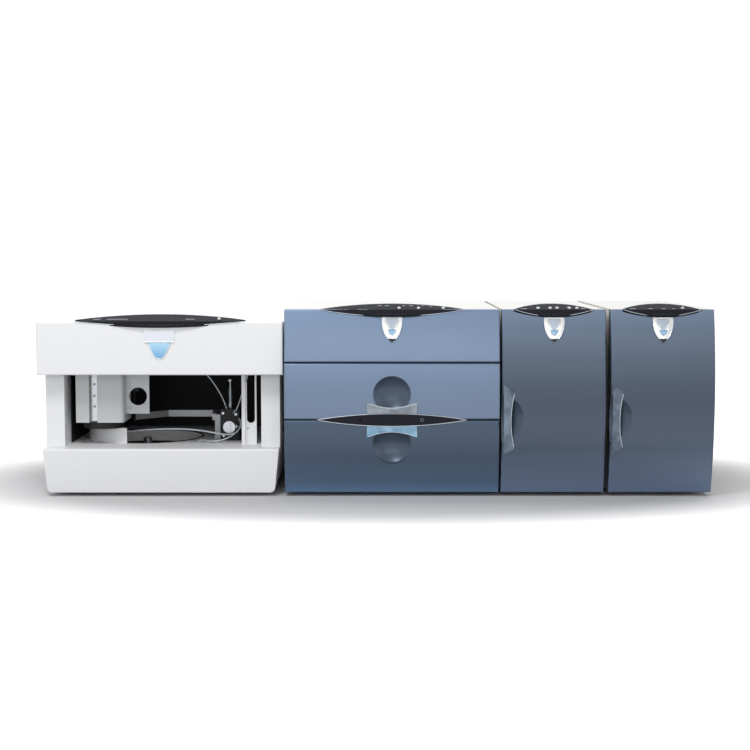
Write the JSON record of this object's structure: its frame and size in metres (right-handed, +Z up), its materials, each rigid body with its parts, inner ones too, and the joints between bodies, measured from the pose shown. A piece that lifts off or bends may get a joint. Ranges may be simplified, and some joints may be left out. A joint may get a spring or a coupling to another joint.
{
  "type": "ion chromatograph",
  "caption": "Ion chromatograph: an open white autosampler beside three blue bench modules with hinged doors, oval keypads and clear finger grips",
  "frame": {"origin": "middle of the whole row's footprint, on the bench", "axes": "+X runs along the row to the right as seen from the front, -Y is the front, +Z is up"},
  "size_m": [1.363, 0.5363, 0.3893],
  "materials": {
    "white_case": "satin",
    "black_plastic": "matt",
    "blue_door": "satin metallic",
    "offwhite_case": "satin",
    "keypad_black": "gloss",
    "button_white": "gloss",
    "clear_blue": "clear",
    "badge_silver": "polished",
    "badge_white": "gloss",
    "badge_blue": "gloss",
    "steel": "brushed",
    "grey_paint": "satin",
    "glass": "clear",
    "rubber": "matt",
    "cream_plastic": "matt"
  },
  "bodies": {
    "frame": {"sampler_base": "white_case", "sampler_housing": "white_case", "sampler_liner": "black_plastic", "sampler_cover": "white_case", "sampler_keypad": "keypad_black", "carousel_spindle": "steel", "guard_wall": "white_case", "arm_housing": "grey_paint", "arm_rail": "steel", "arm_foot": "black_plastic", "holed_plate": "grey_paint", "valve_body": "black_plastic", "syringe_barrel": "glass", "cross_bar": "grey_paint", "service_panel": "white_case", "sampler_badge": "badge_white", "sampler_badge_drop": "badge_blue", "wide_chassis": "offwhite_case", "top_panel": "blue_door", "wide_keypad": "keypad_black", "oval_divider": "keypad_black", "separation_columns": "cream_plastic", "injection_valve": "steel", "detector_cell": "grey_paint", "pump_chassis": "offwhite_case", "pump_keypad": "keypad_black", "pump_head_block": "steel", "eluent_chassis": "offwhite_case", "eluent_keypad": "keypad_black", "eluent_cartridge": "cream_plastic", "wide_badge": "badge_silver", "feet": "rubber", "power_inlets": "black_plastic", "hinge_brackets": "steel"},
    "carousel_body": {"carousel": "black_plastic"},
    "needle_body": {"needle_carriage": "black_plastic"},
    "rotor_body": {"valve_rotor": "steel"},
    "plunger_body": {"syringe_plunger": "steel"},
    "upper_door_body": {"upper_door": "blue_door", "upper_door_grip": "clear_blue"},
    "lower_door_body": {"lower_door": "blue_door", "lower_door_grip": "clear_blue"},
    "pump_door_body": {"pump_door": "blue_door", "pump_door_grip": "clear_blue", "pump_badge": "badge_silver"},
    "eluent_door_body": {"eluent_door": "blue_door", "eluent_door_grip": "clear_blue", "eluent_badge": "badge_silver"},
    "left_knob_body": {"priming_knob_left": "black_plastic"},
    "right_knob_body": {"priming_knob_right": "black_plastic"},
    "sampler_button_body": {"sampler_button": "button_white"},
    "wide_button_left_body": {"wide_button_left": "button_white"},
    "wide_button_middle_body": {"wide_button_middle": "button_white"},
    "wide_button_right_body": {"wide_button_right": "button_white"},
    "pump_button_1_body": {"pump_button_1": "button_white"},
    "pump_button_2_body": {"pump_button_2": "button_white"},
    "pump_button_3_body": {"pump_button_3": "button_white"},
    "pump_button_4_body": {"pump_button_4": "button_white"},
    "pump_button_5_body": {"pump_button_5": "button_white"},
    "eluent_button_body": {"eluent_button": "button_white"}
  },
  "joints": [
    {"name": "carousel_spin", "type": "hinge", "parent": "frame", "child": "carousel_body", "pos_m": [-0.49, -0.038, 0.06], "axis": [0, 0, 1], "continuous": true},
    {"name": "needle_drop", "type": "slide", "parent": "frame", "child": "needle_body", "axis": [0, 0, -1], "range_m": [0, 0.03]},
    {"name": "valve_turn", "type": "hinge", "parent": "frame", "child": "rotor_body", "pos_m": [-0.306, -0.12, 0.127], "axis": [0, 1, 0], "range_deg": [0, 60]},
    {"name": "plunger_draw", "type": "slide", "parent": "frame", "child": "plunger_body", "axis": [0, 0, 1], "range_m": [0, 0.025]},
    {"name": "upper_door_swing", "type": "hinge", "parent": "frame", "child": "upper_door_body", "pos_m": [0.034, -0.25376, 0.2617], "axis": [-1, 0, 0], "range_deg": [0, 85]},
    {"name": "lower_door_swing", "type": "hinge", "parent": "frame", "child": "lower_door_body", "pos_m": [0.034, -0.23478, 0.015], "axis": [1, 0, 0], "range_deg": [0, 75]},
    {"name": "pump_door_swing", "type": "hinge", "parent": "frame", "child": "pump_door_body", "pos_m": [0.4555, -0.253, 0.1935], "axis": [0, 0, 1], "range_deg": [0, 105]},
    {"name": "eluent_door_swing", "type": "hinge", "parent": "frame", "child": "eluent_door_body", "pos_m": [0.6735, -0.253, 0.1935], "axis": [0, 0, 1], "range_deg": [0, 105]},
    {"name": "left_knob_turn", "type": "hinge", "parent": "frame", "child": "left_knob_body", "pos_m": [0.335, -0.08, 0.207], "axis": [0, 1, 0], "range_deg": [0, 350]},
    {"name": "right_knob_turn", "type": "hinge", "parent": "frame", "child": "right_knob_body", "pos_m": [0.383, -0.08, 0.207], "axis": [0, 1, 0], "range_deg": [0, 350]},
    {"name": "sampler_button_press", "type": "slide", "parent": "frame", "child": "sampler_button_body", "axis": [0, 0.342, -0.9397], "range_m": [0, 0.001], "stiffness_N_per_m": 200},
    {"name": "wide_button_left_press", "type": "slide", "parent": "frame", "child": "wide_button_left_body", "axis": [0, 0.342, -0.9397], "range_m": [0, 0.001], "stiffness_N_per_m": 200},
    {"name": "wide_button_middle_press", "type": "slide", "parent": "frame", "child": "wide_button_middle_body", "axis": [0, 0.342, -0.9397], "range_m": [0, 0.001], "stiffness_N_per_m": 200},
    {"name": "wide_button_right_press", "type": "slide", "parent": "frame", "child": "wide_button_right_body", "axis": [0, 0.342, -0.9397], "range_m": [0, 0.001], "stiffness_N_per_m": 200},
    {"name": "pump_button_1_press", "type": "slide", "parent": "frame", "child": "pump_button_1_body", "axis": [0, 0.342, -0.9397], "range_m": [0, 0.001], "stiffness_N_per_m": 200},
    {"name": "pump_button_2_press", "type": "slide", "parent": "frame", "child": "pump_button_2_body", "axis": [0, 0.342, -0.9397], "range_m": [0, 0.001], "stiffness_N_per_m": 200},
    {"name": "pump_button_3_press", "type": "slide", "parent": "frame", "child": "pump_button_3_body", "axis": [0, 0.342, -0.9397], "range_m": [0, 0.001], "stiffness_N_per_m": 200},
    {"name": "pump_button_4_press", "type": "slide", "parent": "frame", "child": "pump_button_4_body", "axis": [0, 0.342, -0.9397], "range_m": [0, 0.001], "stiffness_N_per_m": 200},
    {"name": "pump_button_5_press", "type": "slide", "parent": "frame", "child": "pump_button_5_body", "axis": [0, 0.342, -0.9397], "range_m": [0, 0.001], "stiffness_N_per_m": 200},
    {"name": "eluent_button_press", "type": "slide", "parent": "frame", "child": "eluent_button_body", "axis": [0, 0.342, -0.9397], "range_m": [0, 0.001], "stiffness_N_per_m": 200}
  ]
}
